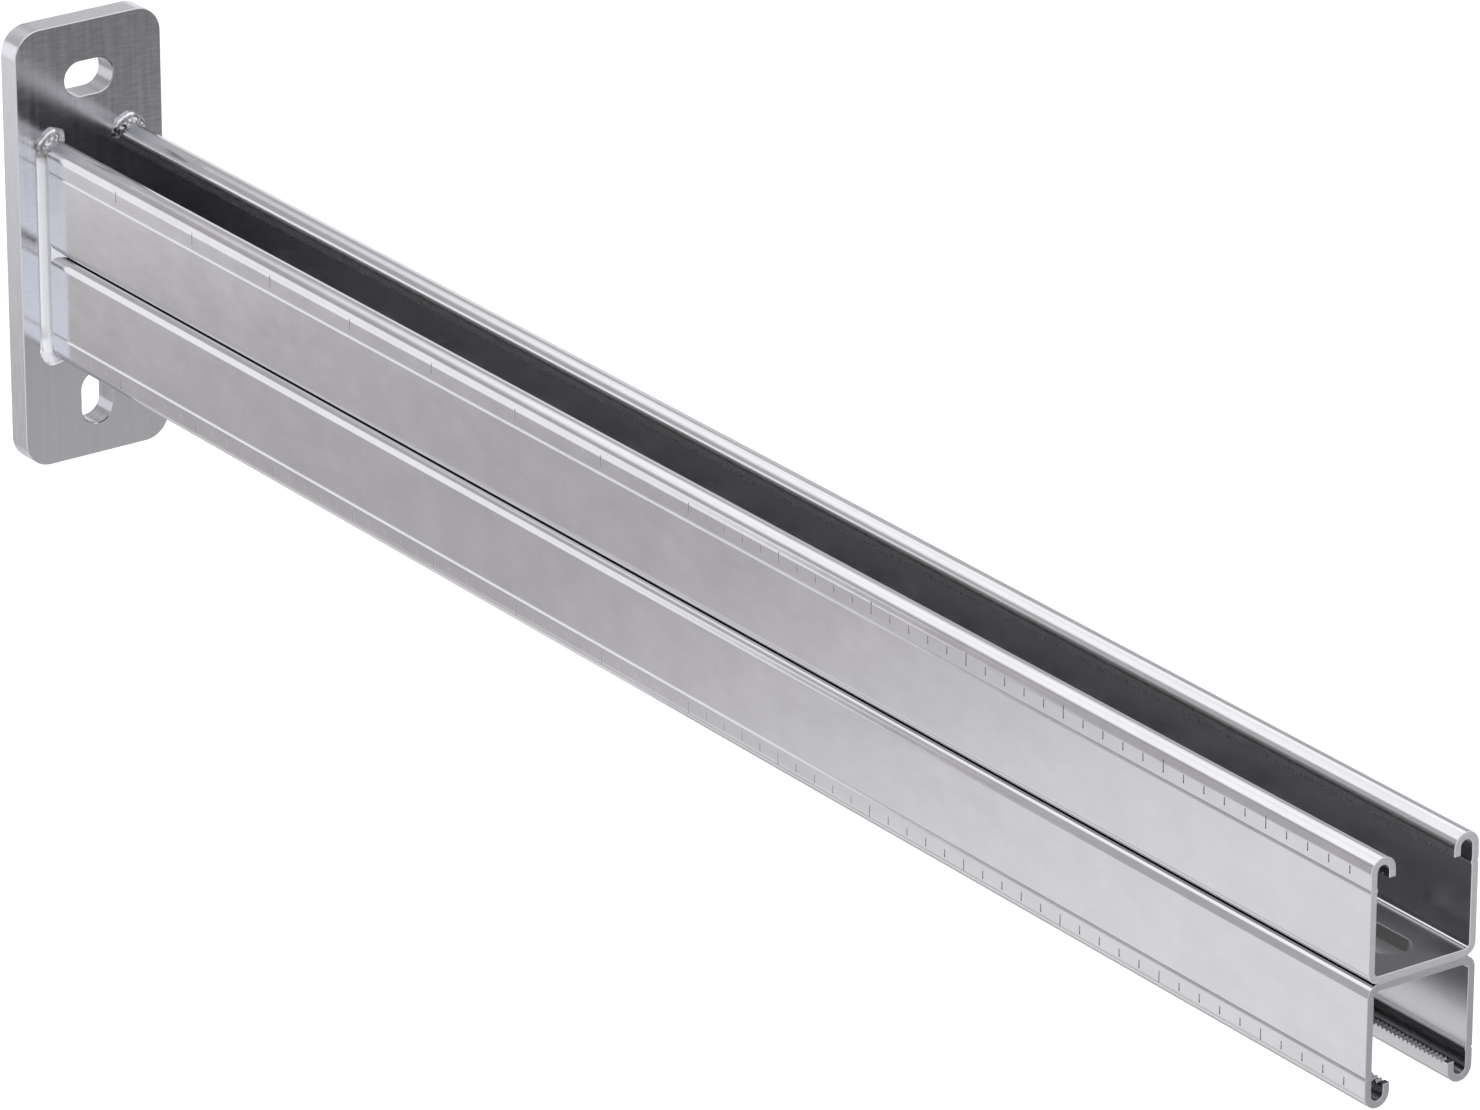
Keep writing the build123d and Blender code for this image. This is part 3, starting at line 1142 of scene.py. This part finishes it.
def make_world():
    """Even grey light all round, lighter from below, darker low on the far side, and white to the camera."""
    world = bpy.data.worlds.new("studio")
    world.use_nodes = True
    bpy.context.scene.world = world
    graph = Graph(world.node_tree)
    way = graph.place("Generated")
    _, _, height = graph.split(way)
    low_light = graph.tint(graph.remap(height, LOW_EDGE, (0, 1)), WORLD_LIGHT, LOW_LIGHT)
    likeness = graph.add("ShaderNodeVectorMath", {0: way, 1: SHADE_WAY}, operation="DOT_PRODUCT")
    shade = graph.remap(likeness.outputs["Value"], SHADE_EDGE, (0, 1))
    light = graph.tint(shade, low_light, SHADE_LIGHT)
    path = graph.add("ShaderNodeLightPath")
    seen = graph.tint(path.outputs["Is Camera Ray"], light, BACKGROUND)
    background = graph.add("ShaderNodeBackground", {"Color": seen, "Strength": 1.0})
    graph.add("ShaderNodeOutputWorld", {"Surface": background.outputs[0]})


# The inside copies of the strip are painted darker than the outside, as painted shade inside the upper
# channel and, less, inside the lower one; they are rougher as well.
outside = channel_steel("zinc_coated_strip", (0.575, 0.57, 0.575), (0.625, 0.62, 0.63), (0.09, 0.13))
inside = channel_steel(
    "zinc_coated_strip_inside_painted_shade", (0.43, 0.43, 0.44), (0.48, 0.48, 0.49), (0.2, 0.26), near_plate_shade=0.32
)
under = channel_steel("zinc_coated_strip_under_painted_shade", (0.5, 0.5, 0.51), (0.56, 0.56, 0.57), (0.2, 0.26))
punched = dull_steel("punched_strip", (0.3, 0.3, 0.3), (0.42, 0.42, 0.42))
lip_inside = dull_steel("lip_inside", (0.54, 0.54, 0.55), (0.66, 0.66, 0.67))
# The lower channel's sawn end is a darker copy of the upper one's, as painted shade.
upper_end = cut_steel("upper_strip_end", (0.6, 0.6, 0.61), (0.78, 0.78, 0.8))
lower_end_shaded = cut_steel("lower_strip_end_painted_shade", (0.44, 0.44, 0.45), (0.58, 0.58, 0.6))
make_channel("upper_channel", 1, [outside, upper_end, inside, punched, lip_inside])
make_channel("lower_channel", -1, [outside, lower_end_shaded, under, punched, lip_inside])
bar_edge = plate_edge_steel("zinc_coated_bar_edge", (0.56, 0.56, 0.57), (0.68, 0.68, 0.7))
# The plate's slots take a darker copy of its edge steel, as painted shade.
bar_slot_shaded = plate_edge_steel("zinc_coated_bar_slot_painted_shade", (0.38, 0.38, 0.39), (0.56, 0.56, 0.58))
make_plate([plate_steel(), bar_edge, bar_slot_shaded])
bead_steel = weld_metal()
make_weld("weld_near_side", -1, NEAR_LIP, bead_steel)
make_weld("weld_far_side", 1, FAR_LIP, bead_steel)
make_camera()
make_floor()
make_world()
for panel in PANELS:
    add_panel(*panel)
bpy.context.scene.view_settings.view_transform = "Standard"
